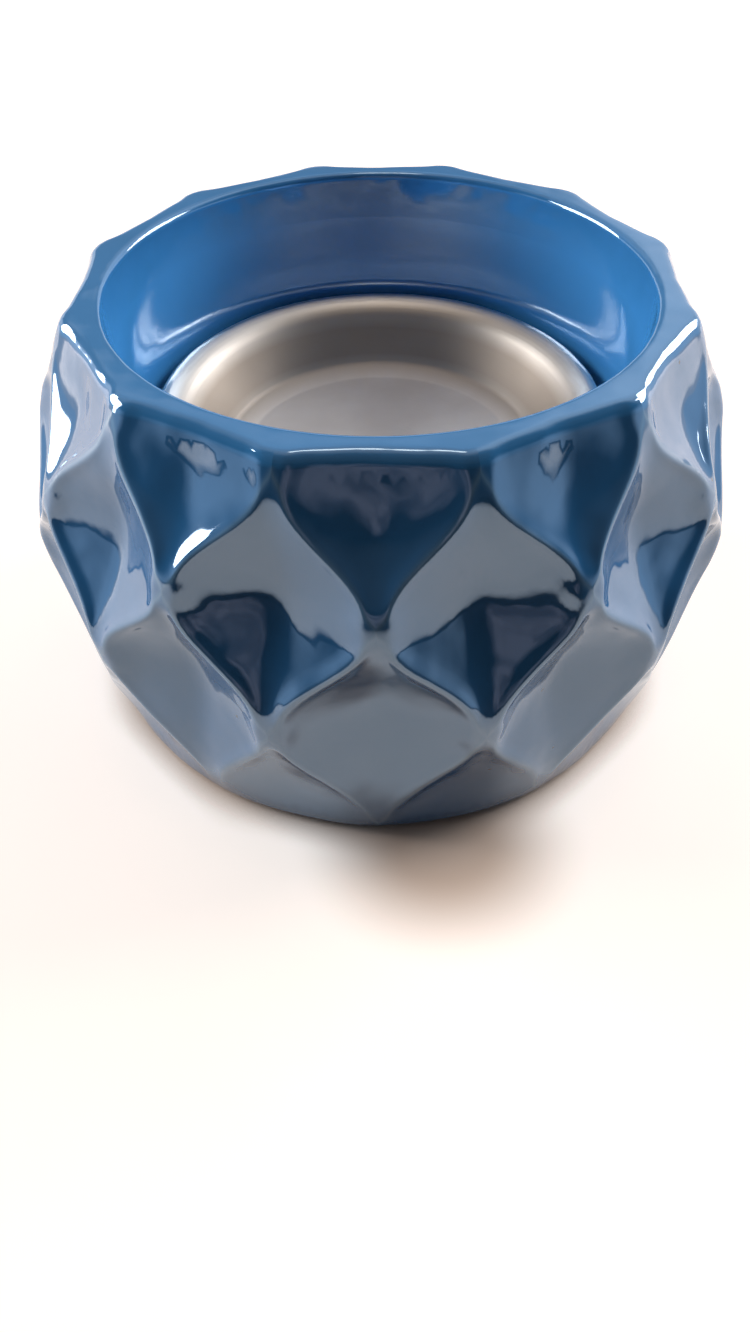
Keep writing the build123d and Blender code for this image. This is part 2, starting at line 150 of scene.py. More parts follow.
def facet_points(top_row, centres, u, v):
    """Concave facets at the centre angles: the row is top row + u + v, the angle is the centre + half a pitch times
    swing(u) - swing(v), and the radius is the barrel's less a dip along the ridges, the hollow with its upright
    valley and a step beside the ridges. At the four corners the ridges are spread into necks and the hollow fades
    out. The crest is 1 on the ridges and falls off as a bell curve."""
    row = eased_rows(top_row + u + v)
    across = swing(u) - swing(v)
    plain_u = 4 * u * (1 - u)
    plain_v = 4 * v * (1 - v)
    corners = ((across, u + v), (across, u + v - 2), (across - 1, u + v - 1), (across + 1, u + v - 1))
    push = sum(neck_push(*corner) for corner in corners)
    fill = np.prod([neck_fill(*corner) for corner in corners], axis=0)
    angle = centres[:, None, None] + HALF_PITCH * (across + push)
    dip = row_value(ROW_DIPS, row) * (plain_u**2 + plain_v**2 - plain_u**2 * plain_v**2)
    dish = row_value(ROW_DISHES, row) * hollow(across, u + v)
    rise_u = 1 - np.exp(-(plain_u / 0.28) ** 3)
    rise_v = 1 - np.exp(-(plain_v / 0.28) ** 3)
    step = row_value(ROW_STEPS, row) * rise_u * rise_v
    radius = row_value(ROW_RADII, row) - dip - (dish + step) * fill + unevenness(angle, row)
    points = round_axis(radius, angle, CERAMIC_BOTTOM + row_value(ROW_HEIGHTS, row))
    crest = np.exp(-(np.minimum(plain_u, plain_v) / 0.11) ** 2)
    return points, np.broadcast_to(crest, angle.shape)


def crowded(count):
    """Even steps from 0 to 1 crowded towards both ends, where the ridges are."""
    t = np.linspace(0, 1, count + 1)
    return t - 0.75 * np.sin(2 * np.pi * t) / (2 * np.pi)


def arc(start, corner, end, steps):
    """Quadratic curve from start to end, pulled towards the corner; a radius may hold one value per column."""
    t = np.linspace(0, 1, steps)[:, None]
    return [a * (1 - t) ** 2 + 2 * b * t * (1 - t) + c * t * t for a, b, c in zip(start, corner, end)]


def straight(start, end, steps):
    """Evenly spaced points of a straight line, both ends left out."""
    t = np.linspace(0, 1, steps + 2)[1:-1, None]
    return [a * (1 - t) + b * t for a, b in zip(start, end)]


def facet_faces(keep):
    """Square cells of a facet's grid: all, or those on one side of the diagonal with triangles along it."""
    index = np.arange((GRID + 1) ** 2).reshape(GRID + 1, GRID + 1)
    i, j = np.meshgrid(np.arange(GRID), np.arange(GRID), indexing="ij")
    quads = np.stack([index[:-1, :-1], index[1:, :-1], index[1:, 1:], index[:-1, 1:]], -1)
    if keep == "whole":
        return quads.reshape(-1, 4), np.zeros((0, 3), int)
    edge = quads[(i + j) == GRID - 1]
    if keep == "lower":
        return quads[(i + j) >= GRID], edge[:, [1, 2, 3]]
    return quads[(i + j + 2) <= GRID], edge[:, [0, 1, 3]]


def ring_faces(index):
    """Square cells between the rows of a grid of point numbers that closes round the axis."""
    following = np.roll(index, -1, axis=1)
    return np.stack([index[:-1], following[:-1], following[1:], index[1:]], -1).reshape(-1, 4)


def profile_strip(rim_radius, rim_height, toe_radius, toe_height):
    """Profile from the outer rim edge to the toe: radius and height for each step and column, and the share of turn
    from the rim's columns to the toe's."""
    shoulder = rim_radius - 0.5 * (RIM_TOP - rim_height)
    crown = shoulder - 0.8 * RIM_ROUND
    lip = WELL_MOUTH + LIP_ROUND
    lip_foot = RIM_TOP - LIP_ROUND
    fillet_top = LEDGE_TOP + WELL_FILLET
    seen = [
        arc((rim_radius, rim_height), (shoulder, RIM_TOP), (crown, RIM_TOP), 8),
        straight((crown, RIM_TOP), (lip, RIM_TOP), 2),
        arc((lip, RIM_TOP), (WELL_MOUTH, RIM_TOP), (WELL_MOUTH, lip_foot), 9),
        straight((WELL_MOUTH, lip_foot), (WELL_FOOT, fillet_top), 8),
        arc((WELL_FOOT, fillet_top), (WELL_FOOT, LEDGE_TOP), (WELL_FOOT - WELL_FILLET, LEDGE_TOP), 6),
        arc((LEDGE_HOLE + LEDGE_EDGE, LEDGE_TOP), (LEDGE_HOLE, LEDGE_TOP), (LEDGE_HOLE, LEDGE_TOP - LEDGE_EDGE), 4),
    ]
    inner_wall = np.array((
        (LEDGE_HOLE, LEDGE_BOTTOM),
        (WELL_FOOT + 3.0, LEDGE_BOTTOM),
        (WELL_FOOT + 5.0, LEDGE_BOTTOM + 2.0),
        (WELL_MOUTH + 3.5, RIM_TOP - 13.0),
        (WELL_MOUTH + 5.0, RIM_TOP - 13.0),
        (53.2, CERAMIC_BOTTOM + 44.3),
        (53.7, CERAMIC_BOTTOM + 20.5),
        (HOLLOW, BASE_STEP + 4.0),
        (HOLLOW, BASE_STEP),
        (BASE_RECESS, BASE_STEP),
        (BASE_RECESS, CERAMIC_BOTTOM + RECESS_EDGE),
    ))
    recess = (BASE_RECESS, CERAMIC_BOTTOM + RECESS_EDGE), (BASE_RECESS, CERAMIC_BOTTOM)
    foot_edge = toe_radius - 0.3 * (toe_height - CERAMIC_BOTTOM)
    runs = seen + [
        (inner_wall[:, :1], inner_wall[:, 1:]),
        arc(*recess, (BASE_RECESS + RECESS_EDGE, CERAMIC_BOTTOM), 4),
        arc((foot_edge - TOE_ROUND, CERAMIC_BOTTOM), (foot_edge, CERAMIC_BOTTOM), (toe_radius, toe_height), 6),
    ]
    columns = rim_radius.size
    radius = np.concatenate([np.broadcast_to(part, (len(part), columns)) for part, _ in runs])
    height = np.concatenate([np.broadcast_to(part, (len(part), columns)) for _, part in runs])
    seen_steps = sum(len(part) for part, _ in seen)
    turn = np.clip((np.arange(len(radius)) - seen_steps) / (len(inner_wall) - 1), 0, 1)[:, None]
    return radius, height, turn


def ceramic_arrays():
    """All facets of the outside, then one closed strip of profile points that runs over the rim, down the well,
    round the ledge, through the hollow and out to the toe, column by column round the axis."""
    t = crowded(GRID)
    u, v = np.meshgrid(t, t, indexing="ij")
    steps = np.arange(GRID)
    points, crests, quads, triangles, edges = [], [], [], [], {}
    offset = 0
    for top_row, keep in ((-1, "lower"), (0, "whole"), (1, "whole"), (2, "upper")):
        centres = HALF_PITCH * (2 * np.arange(FACETS) + (top_row + 1) % 2)
        cells, crest = facet_points(top_row, centres, u, v)
        starts = (offset + u.size * np.arange(FACETS))[:, None, None]
        cell_quads, cell_triangles = facet_faces(keep)
        points.append(cells.reshape(-1, 3))
        crests.append(crest.ravel())
        quads.append((cell_quads + starts).reshape(-1, 4))
        triangles.append((cell_triangles + starts).reshape(-1, 3))
        edges[top_row] = cells[:, steps, GRID - steps].reshape(-1, 3)
        offset += u.size * FACETS
    rim = edges[-1]
    toe = np.roll(edges[2], GRID // 2, axis=0)
    rim_angle = np.unwrap(np.arctan2(rim[:, 0], -rim[:, 1]))
    toe_angle = np.unwrap(np.arctan2(toe[:, 0], -toe[:, 1]))
    toe_angle += 2 * np.pi * np.round((rim_angle[0] - toe_angle[0]) / (2 * np.pi))
    radius, height, turn = profile_strip(
        np.hypot(rim[:, 0], rim[:, 1]), rim[0, 2], np.hypot(toe[:, 0], toe[:, 1]), toe[0, 2])
    strip = round_axis(radius, rim_angle * (1 - turn) + toe_angle * turn, height)
    points.append(strip.reshape(-1, 3))
    crests.append(np.zeros(radius.size))
    quads.append(ring_faces(offset + np.arange(radius.size).reshape(radius.shape)))
    inside = np.repeat((0.0, 1.0), (offset, radius.size))
    return np.concatenate(points), np.concatenate(crests), inside, np.concatenate(quads), np.concatenate(triangles)


def welded(points, face_sets, decimals=4):
    """Points that agree to a tenth of a micron become one; faces are renumbered to match."""
    _, first, back = np.unique(np.round(points, decimals), axis=0, return_index=True, return_inverse=True)
    return points[first], first, [back.ravel()[faces] for faces in face_sets]


def mesh_object(name, points, face_sets):
    """Mesh of the given points in millimetres and arrays of faces, smooth shaded, normals outwards."""
    mesh = bpy.data.meshes.new(name)
    mesh.from_pydata((points * MM).tolist(), [], sum((faces.tolist() for faces in face_sets), []))
    mesh.validate()
    shaped = bmesh.new()
    shaped.from_mesh(mesh)
    bmesh.ops.recalc_face_normals(shaped, faces=shaped.faces)
    shaped.to_mesh(mesh)
    shaped.free()
    mesh.polygons.foreach_set("use_smooth", np.ones(len(mesh.polygons), bool))
    piece = bpy.data.objects.new(name, mesh)
    bpy.context.scene.collection.objects.link(piece)
    return piece


def add_glaze_map(piece, crest, inside):
    """UV map that carries each point's nearness to a ridge, for the pale glaze and painted highlight there, and
    whether it is on the rim, in the well or in the hollow."""
    mesh = piece.data
    corner = np.empty(len(mesh.loops), int)
    mesh.loops.foreach_get("vertex_index", corner)
    layer = mesh.uv_layers.new(name="glaze")
    layer.data.foreach_set("uv", np.stack([crest[corner], inside[corner]], -1).astype(np.float32).ravel())


def turned(name, profile, columns=192):
    """Profile of radius and height pairs carried round the axis; a point on the axis closes the middle."""
    radius, height = np.asarray(profile, float).T[:, :, None]
    angle = np.linspace(0, 2 * np.pi, columns, endpoint=False)
    grid = round_axis(radius, angle, height).reshape(-1, 3)
    points, _, (quads,) = welded(grid, [ring_faces(np.arange(len(grid)).reshape(-1, columns))])
    first_tip = quads[:, 0] == quads[:, 1]
    last_tip = quads[:, 2] == quads[:, 3]
    tips = np.concatenate([quads[first_tip][:, 1:], quads[last_tip][:, :3]])
    return mesh_object(name, points, [quads[~first_tip & ~last_tip], tips])


def rounded_line(corners, radii, steps=9):
    """Polyline with each inner corner replaced by a circle arc of its own radius that touches both runs."""
    corners = np.asarray(corners, float)
    line = [corners[:1]]
    for before, here, after, radius in zip(corners[:-2], corners[1:-1], corners[2:], radii):
        back = (before - here) / np.linalg.norm(before - here)
        ahead = (after - here) / np.linalg.norm(after - here)
        half = 0.5 * math.acos(np.clip(back @ ahead, -1, 1))
        reach = radius / math.tan(half)
        middle = here + (back + ahead) / np.linalg.norm(back + ahead) * radius / math.sin(half)
        first = here + back * reach - middle
        last = here + ahead * reach - middle
        sweep = math.atan2(first[0] * last[1] - first[1] * last[0], first @ last)
        turn = np.linspace(0, sweep, steps)
        line.append(middle + np.stack([
            first[0] * np.cos(turn) - first[1] * np.sin(turn),
            first[0] * np.sin(turn) + first[1] * np.cos(turn),
        ], -1))
    line.append(corners[-1:])
    return np.concatenate(line)


# Pieces

def make_ceramic_shell():
    """Ceramic body: the welded arrays without spare points, its glaze map, and the three holes of the cord gland."""
    points, crest, inside, quads, triangles = ceramic_arrays()
    points, first, faces = welded(points, [quads, triangles])
    used = np.zeros(len(points), bool)
    used[np.concatenate([group.ravel() for group in faces])] = True
    renumber = np.cumsum(used) - 1
    shell = mesh_object("ceramic_shell", points[used], [renumber[group] for group in faces])
    add_glaze_map(shell, crest[first][used], inside[first][used])
    cut_hole(shell, GLAND_HOLE, INSIDE_WALL, OUTSIDE_WALL)
    cut_hole(shell, GLAND_SEAT_HOLE, GLAND_SEAT, OUTSIDE_WALL)
    cut_hole(shell, GLAND_POCKET_HOLE, INSIDE_WALL, GLAND_POCKET)
    return shell


def make_pan():
    """Sheet metal pan: the upper line over floor, wall, crest and skirt, and the same line moved down by the sheet,
    joined at the skirt's hem."""
    top, floor, sheet = 58.4, 45.3, 0.8
    corners = (
        (0, floor), (26.0, floor), (29.8, floor + 1.3),
        (36.4, top - 2.4), (41.2, top - 0.7), (42.3, top - 5.5),
    )
    upper = rounded_line(corners, (2.2, 2.2, 6.0, 2.0))
    way = np.gradient(upper, axis=0)
    way /= np.linalg.norm(way, axis=1)[:, None]
    lower = upper + np.stack([way[:, 1], -way[:, 0]], -1) * sheet
    lower[0, 0] = 0
    return turned("pan", np.concatenate([upper, lower[::-1]]))


def cut_hole(piece, radius, start, end, sides=48):
    """Round hole along Y at the cord gland's height, from start to end, taken out of the piece's mesh."""
    turn = np.linspace(0, 2 * np.pi, sides, endpoint=False)
    ring = np.stack([radius * np.cos(turn), np.zeros(sides), GLAND_HEIGHT + radius * np.sin(turn)], -1)
    index = np.arange(2 * sides).reshape(2, sides)
    cutter = mesh_object(
        "cutter", np.concatenate([ring + (0, start, 0), ring + (0, end, 0)]), [ring_faces(index), index])
    cut = piece.modifiers.new("hole", "BOOLEAN")
    cut.object = cutter
    cut.solver = "EXACT"
    shaped = bpy.data.meshes.new_from_object(piece.evaluated_get(bpy.context.evaluated_depsgraph_get()))
    piece.modifiers.remove(cut)
    plain = piece.data
    piece.data = shaped
    bpy.data.meshes.remove(plain)
    bpy.data.meshes.remove(cutter.data)


# Materials

def new_material(name):
    """Empty material with its node tree and its main shader."""
    material = bpy.data.materials.new(name)
    material.use_nodes = True
    tree = material.node_tree
    return material, tree, tree.nodes["Principled BSDF"]


def add_node(tree, kind, links=(), **values):
    """Node with the given links to its inputs; a value goes to the input of its name, or else to a setting."""
    node = tree.nodes.new(kind)
    for key, value in values.items():
        if key in node.inputs:
            node.inputs[key].default_value = value
        else:
            setattr(node, key, value)
    for socket, source in links:
        tree.links.new(source, node.inputs[socket])
    return node


def ramp(tree, source, stops):
    """Colour read off between the stops, each a place and a colour."""
    node = add_node(tree, "ShaderNodeValToRGB", [("Fac", source)])
    elements = node.color_ramp.elements
    while len(elements) < len(stops):
        elements.new(0.5)
    for element, (place, colour) in zip(elements, stops):
        element.position = place
        element.color = (*colour, 1)
    return node.outputs["Color"]


def mix(tree, factor, first, second):
    """Blend of two colours, each a plain colour or another node's output."""
    node = add_node(tree, "ShaderNodeMix", [("Factor", factor)], data_type="RGBA")
    for key, value in (("A", first), ("B", second)):
        if isinstance(value, tuple):
            node.inputs[key].default_value = (*value, 1)
        else:
            tree.links.new(value, node.inputs[key])
    return node.outputs["Result"]


def spread(tree, value, low, high, start=0.0, end=1.0, kind="LINEAR"):
    """Value between start and end carried over to the span from low to high."""
    node = add_node(tree, "ShaderNodeMapRange", [("Value", value)], interpolation_type=kind)
    for key, number in (("From Min", start), ("From Max", end), ("To Min", low), ("To Max", high)):
        node.inputs[key].default_value = number
    return node.outputs["Result"]


def combine(tree, operation, first, second):
    """One value worked out from two."""
    return add_node(tree, "ShaderNodeMath", [(0, first), (1, second)], operation=operation).outputs["Value"]


def length(tree, vector):
    return add_node(tree, "ShaderNodeVectorMath", [(0, vector)], operation="LENGTH").outputs["Value"]


def towards(tree, way, aim_point):
    """Cosine between a direction and a fixed one."""
    node = add_node(tree, "ShaderNodeVectorMath", [(0, way)], operation="DOT_PRODUCT")
    node.inputs[1].default_value = aim_point
    return node.outputs["Value"]


def split(tree, vector):
    return add_node(tree, "ShaderNodeSeparateXYZ", [("Vector", vector)]).outputs


def make_group(name, inputs, outputs):
    """Empty node group with named inputs and outputs."""
    group = bpy.data.node_groups.new(name, "ShaderNodeTree")
    for title, kind, value in inputs:
        socket = group.interface.new_socket(title, in_out="INPUT", socket_type=kind)
        socket.default_value = value
    for title, kind in outputs:
        group.interface.new_socket(title, in_out="OUTPUT", socket_type=kind)
    return group, group.nodes.new("NodeGroupInput"), group.nodes.new("NodeGroupOutput")


def make_mottle():
    """Cloudy shade of two colours on Object coordinates, with the cloud itself for roughness and relief."""
    group, given, result = make_group(
        "mottle",
        (("Scale", "NodeSocketFloat", 60.0), ("Dark", "NodeSocketColor", (0.2, 0.2, 0.2, 1)),
         ("Light", "NodeSocketColor", (0.3, 0.3, 0.3, 1))),
        (("Colour", "NodeSocketColor"), ("Cloud", "NodeSocketFloat")))
    place = add_node(group, "ShaderNodeTexCoord").outputs["Object"]
    noise = add_node(group, "ShaderNodeTexNoise", [("Vector", place), ("Scale", given.outputs["Scale"])], Detail=5.0)
    cloud = spread(group, noise.outputs["Fac"], 0.0, 1.0, 0.3, 0.7)
    colour = mix(group, cloud, given.outputs["Dark"], given.outputs["Light"])
    group.links.new(colour, result.inputs["Colour"])
    group.links.new(cloud, result.inputs["Cloud"])
    return group


def make_specks():
    """Scattered dots: the middle of some cells of a cell pattern, as pinholes, pits or dust."""
    group, given, result = make_group(
        "specks",
        (("Scale", "NodeSocketFloat", 200.0), ("Size", "NodeSocketFloat", 0.2), ("Share", "NodeSocketFloat", 0.2)),
        (("Mask", "NodeSocketFloat"),))
    place = add_node(group, "ShaderNodeTexCoord").outputs["Object"]
    cells = add_node(group, "ShaderNodeTexVoronoi", [("Vector", place), ("Scale", given.outputs["Scale"])])
    near = combine(group, "LESS_THAN", cells.outputs["Distance"], given.outputs["Size"])
    pick = add_node(group, "ShaderNodeSeparateColor", [("Color", cells.outputs["Color"])])
    chosen = combine(group, "LESS_THAN", pick.outputs["Red"], given.outputs["Share"])
    group.links.new(combine(group, "MULTIPLY", near, chosen), result.inputs["Mask"])
    return group


mottle = make_mottle()
specks = make_specks()


def use_mottle(tree, scale, dark, light):
    """Colour and cloud of a mottle between two colours."""
    node = add_node(tree, "ShaderNodeGroup", node_tree=mottle)
    node.inputs["Scale"].default_value = scale
    node.inputs["Dark"].default_value = (*dark, 1)
    node.inputs["Light"].default_value = (*light, 1)
    return node.outputs["Colour"], node.outputs["Cloud"]


def use_specks(tree, scale, size, share):
    """Mask of specks that take up a share of the cells."""
    node = add_node(tree, "ShaderNodeGroup", node_tree=specks)
    node.inputs["Scale"].default_value = scale
    node.inputs["Size"].default_value = size
    node.inputs["Share"].default_value = share
    return node.outputs["Mask"]


def make_glaze():
    """Blue glaze, one blue drawn in shades: darkest on the facets as painted shade, clearer on the rim and lightest
    in the well as painted light, pale along the ridges where the glaze runs thinner and as a painted highlight, with
    a few pits. Its gloss is strong and bluish, and lies in slow waves that are calmer in the well."""
    material, tree, shader = new_material("blue_glaze")
    place = add_node(tree, "ShaderNodeTexCoord").outputs["Object"]
    chart = split(tree, add_node(tree, "ShaderNodeUVMap", uv_map="glaze").outputs["UV"])
    ridge, inside = chart["X"], chart["Y"]
    # Painted shade and light: the glaze is one blue, drawn darker on the facets and lightest in the well below the
    # rim, which the rim shades.
    facet, cloud = use_mottle(tree, 45.0, (0.021, 0.115, 0.278), (0.028, 0.136, 0.324))
    band, _ = use_mottle(tree, 45.0, (0.032, 0.172, 0.400), (0.041, 0.198, 0.455))
    well, _ = use_mottle(tree, 45.0, (0.046, 0.240, 0.560), (0.058, 0.270, 0.620))
    deep = spread(tree, split(tree, place)["Z"], 1.0, 0.0, 0.071, 0.078)
    colour = mix(tree, inside, facet, mix(tree, deep, band, well))
    # Painted highlight: a pale ridge colour, for glaze running thinner there and for the ridges' highlight.
    thin_glaze_and_painted_highlight = combine(tree, "MULTIPLY", ridge, spread(tree, cloud, 0.55, 0.95))
    colour = mix(tree, thin_glaze_and_painted_highlight, colour, (0.14, 0.27, 0.43))
    pits = use_specks(tree, 260.0, 0.09, 0.03)
    tree.links.new(mix(tree, pits, colour, (0.012, 0.03, 0.06)), shader.inputs["Base Color"])
    waves = add_node(tree, "ShaderNodeTexNoise", [("Vector", place)], Scale=70.0, Detail=2.0).outputs["Fac"]
    calm = spread(tree, combine(tree, "MULTIPLY", inside, deep), 1.0, 0.25)
    waves = combine(tree, "MULTIPLY", waves, calm)
    relief = add_node(tree, "ShaderNodeBump", [("Height", waves)], Strength=1.0, Distance=0.0006)
    tree.links.new(relief.outputs["Normal"], shader.inputs["Normal"])
    shader.inputs["Roughness"].default_value = 0.06
    shader.inputs["IOR"].default_value = 2.4
    shader.inputs["Specular Tint"].default_value = (0.62, 0.80, 1.0, 1)
    return material


def make_pan_steel():
    """Satin steel of the pan: fine turned rings round the axis, duller in the recess than on the brim, a warm darker
    wall that is a painted reflection of a warm room, and a pale, less metallic floor that is painted light for its
    reflection of a bright ceiling."""
    material, tree, shader = new_material("satin_steel")
    place = add_node(tree, "ShaderNodeTexCoord").outputs["Object"]
    colour, cloud = use_mottle(tree, 55.0, (0.72, 0.70, 0.67), (0.84, 0.81, 0.78))
    level = add_node(tree, "ShaderNodeVectorMath", [(0, place)], operation="MULTIPLY")
    level.inputs[1].default_value = (1.0, 1.0, 0.0)
    reach = length(tree, level.outputs["Vector"])
    lines = add_node(tree, "ShaderNodeTexNoise", [("W", reach)], noise_dimensions="1D", Scale=1800.0, Detail=3.0)
    marks = use_specks(tree, 300.0, 0.10, 0.04)
    # Painted light: the floor is drawn pale and less metallic, standing for its reflection of a bright ceiling.
    pale_floor_painted_light = spread(tree, reach, 1.0, 0.0, 0.026, 0.031)
    pale_floor_painted_light = combine(tree, "MULTIPLY", pale_floor_painted_light, spread(tree, cloud, 0.7, 0.95))
    bare = mix(tree, marks, colour, (0.20, 0.18, 0.16))
    # Painted reflection: the wall is drawn warm and darker, as a reflection of a warm room.
    warm = mix(tree, spread(tree, reach, 1.0, 0.0, 0.034, 0.0385), bare, (0.42, 0.36, 0.305))
    tree.links.new(mix(tree, pale_floor_painted_light, warm, (0.92, 0.885, 0.85)), shader.inputs["Base Color"])
    tree.links.new(spread(tree, pale_floor_painted_light, 1.0, 0.30), shader.inputs["Metallic"])
    dull = spread(tree, reach, 0.62, 0.26, 0.034, 0.041)
    tree.links.new(combine(tree, "ADD", dull, spread(tree, cloud, -0.04, 0.06)), shader.inputs["Roughness"])
    rings = add_node(tree, "ShaderNodeBump", [("Height", lines.outputs["Fac"])], Strength=0.25, Distance=0.00008)
    tree.links.new(rings.outputs["Normal"], shader.inputs["Normal"])
    return material


def make_metal(name, dark, light, roughness, grain=90.0):
    """Bare metal: cloudy colour and gloss, with a few dull specks."""
    material, tree, shader = new_material(name)
    colour, cloud = use_mottle(tree, grain, dark, light)
    tarnish = use_specks(tree, 420.0, 0.16, 0.12)
    tree.links.new(mix(tree, tarnish, colour, tuple(0.5 * c for c in dark)), shader.inputs["Base Color"])
    tree.links.new(spread(tree, cloud, 0.8 * roughness, 1.25 * roughness), shader.inputs["Roughness"])
    shader.inputs["Metallic"].default_value = 1.0
    return material


def make_matt(name, dark, light, roughness, grain=220.0, relief=0.0003):
    """Moulded, fired or felted stuff: cloudy colour, a fine rough skin and pale dust in places."""
    material, tree, shader = new_material(name)
    colour, cloud = use_mottle(tree, grain, dark, light)
    dust = use_specks(tree, 700.0, 0.22, 0.15)
    tree.links.new(mix(tree, dust, colour, tuple(0.8 * c + 0.04 for c in light)), shader.inputs["Base Color"])
    tree.links.new(spread(tree, cloud, 0.9 * roughness, min(1.0, 1.15 * roughness)), shader.inputs["Roughness"])
    skin = add_node(tree, "ShaderNodeBump", [("Height", cloud)], Strength=0.3, Distance=relief)
    tree.links.new(skin.outputs["Normal"], shader.inputs["Normal"])
    return material


glaze = make_glaze()
pan_steel = make_pan_steel()
finishes = {
    "blue_glaze": glaze,
    "satin_steel": pan_steel,
    "sheet_steel": make_metal("sheet_steel", (0.36, 0.36, 0.37), (0.47, 0.47, 0.48), 0.38),
    "cast_aluminium": make_metal("cast_aluminium", (0.48, 0.48, 0.49), (0.60, 0.60, 0.61), 0.5, 160.0),
    "zinc_screw": make_metal("zinc_screw", (0.40, 0.41, 0.42), (0.54, 0.55, 0.57), 0.32, 240.0),
    "brass_screw": make_metal("brass_screw", (0.48, 0.33, 0.12), (0.62, 0.45, 0.18), 0.3, 240.0),
    "copper_strip": make_metal("copper_strip", (0.50, 0.24, 0.13), (0.66, 0.33, 0.19), 0.34),
    "alumina": make_matt("alumina", (0.70, 0.67, 0.60), (0.80, 0.78, 0.72), 0.55),
    "ptc_ceramic": make_matt("ptc_ceramic", (0.10, 0.095, 0.09), (0.17, 0.16, 0.15), 0.6),
    "fibre_felt": make_matt("fibre_felt", (0.58, 0.55, 0.48), (0.74, 0.72, 0.65), 0.95, 420.0, 0.0008),
    "fuse_case": make_matt("fuse_case", (0.50, 0.48, 0.44), (0.62, 0.60, 0.56), 0.4),
    "silicone": make_matt("silicone", (0.26, 0.045, 0.025), (0.36, 0.075, 0.04), 0.55),
    "black_rubber": make_matt("black_rubber", (0.014, 0.014, 0.015), (0.03, 0.03, 0.032), 0.75),
    "black_phenolic": make_matt("black_phenolic", (0.018, 0.018, 0.02), (0.036, 0.036, 0.039), 0.45),
    "cream_phenolic": make_matt("cream_phenolic", (0.56, 0.50, 0.38), (0.68, 0.62, 0.49), 0.45),
    "sleeve_brown": make_matt("sleeve_brown", (0.11, 0.05, 0.025), (0.17, 0.08, 0.04), 0.6),
    "sleeve_blue": make_matt("sleeve_blue", (0.02, 0.07, 0.22), (0.035, 0.11, 0.32), 0.6),
}

shell = make_ceramic_shell()
shell.data.materials.append(glaze)
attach(shell, "warmer")
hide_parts("ceramic_body")

pan = make_pan()
pan.data.materials.append(pan_steel)
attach(pan, "pan")
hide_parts("wax_pan")

slots = {entry["node"]: entry["material_slot"] for entry in frame["record"]["subparts"]}
for name, node in frame["nodes"].items():
    node.data.materials.clear()
    node.data.materials.append(finishes[slots[name]])


# Stage, light and camera

def make_floor():
    """Pale table: a warm matt top, lifted to white for the eye and for reflections, except close under the warmer,
    where painted contact shade follows ambient occlusion, and in a soft painted shadow before it that no lamp casts.
    Reflections lose it at the viewer's side, and its bounce light is dim."""
    material, tree, shader = new_material("pale_table")
    colour, _ = use_mottle(tree, 14.0, (0.61, 0.47, 0.375), (0.67, 0.51, 0.41))
    place = add_node(tree, "ShaderNodeTexCoord").outputs["Object"]
    near = spread(tree, split(tree, place)["Y"], 0.0, 1.0, -0.60, -0.32)
    paths = add_node(tree, "ShaderNodeLightPath").outputs
    eye = paths["Is Camera Ray"]
    mirrored = combine(tree, "MAXIMUM", paths["Is Glossy Ray"], paths["Is Transmission Ray"])
    seen = combine(tree, "MAXIMUM", combine(tree, "MULTIPLY", mirrored, near), eye)
    bounce = mix(tree, near, (0.03, 0.027, 0.025), (0.23, 0.21, 0.195))
    tree.links.new(mix(tree, seen, bounce, colour), shader.inputs["Base Color"])
    shader.inputs["Roughness"].default_value = 0.7
    shader.inputs["Specular IOR Level"].default_value = 0.2
    # Painted contact shade: the white lift follows ambient occlusion, so the table is darker close under the warmer.
    open_sky = add_node(tree, "ShaderNodeAmbientOcclusion", Distance=0.010, samples=8).outputs["AO"]
    # Painted shadow: a soft dark spot before the toe, where the white lift fades out; no lamp casts it.
    painted_shadow_patch = add_node(tree, "ShaderNodeMapping", [("Vector", place)])
    painted_shadow_patch.inputs["Location"].default_value = (-0.48, 2.85, 0.0)
    painted_shadow_patch.inputs["Scale"].default_value = (40.0, 46.0, 1.0)
    clear = spread(tree, length(tree, painted_shadow_patch.outputs["Vector"]), 0.05, 1.0, 0.30, 1.15, "SMOOTHSTEP")
    lift = combine(tree, "MULTIPLY", spread(tree, open_sky, 0.0, 0.60, 0.40, 0.75), clear)
    far = combine(tree, "MULTIPLY", spread(tree, length(tree, place), 0.0, 0.45, 0.35, 1.5), eye)
    white = combine(tree, "MULTIPLY", seen, combine(tree, "ADD", lift, far))
    tree.links.new(white, shader.inputs["Emission Strength"])
    shader.inputs["Emission Color"].default_value = (0.93, 0.97, 1.0, 1)
    side = 3.0
    mesh = bpy.data.meshes.new("table_top")
    mesh.from_pydata([(-side, -side, 0), (side, -side, 0), (side, side, 0), (-side, side, 0)], [], [(0, 1, 2, 3)])
    mesh.materials.append(material)
    floor = bpy.data.objects.new("table_top", mesh)
    bpy.context.scene.collection.objects.link(floor)


def aim(thing, target):
    """Turns a lamp so that it shines at the target, with its upper edge level."""
    way = np.asarray(target, float) - np.asarray(thing.location, float)
    way /= np.linalg.norm(way)
    side = np.cross(way, (0, 0, 1))
    side /= np.linalg.norm(side)
    up = np.cross(side, way)
    turn = np.stack([side, up, -way], -1)
    thing.rotation_mode = "QUATERNION"
    thing.rotation_quaternion = mathutils.Matrix(turn.tolist()).to_quaternion()


def make_lamp(name, place, size, power, colour):
    """Soft window: a rectangle of light turned to the warmer's middle."""
    light = bpy.data.lights.new(name, "AREA")
    light.shape = "RECTANGLE"
    light.size, light.size_y = size
    light.energy = power
    light.color = colour
    lamp = bpy.data.objects.new(name, light)
    lamp.location = place
    bpy.context.scene.collection.objects.link(lamp)
    aim(lamp, (0, 0, 0.05))


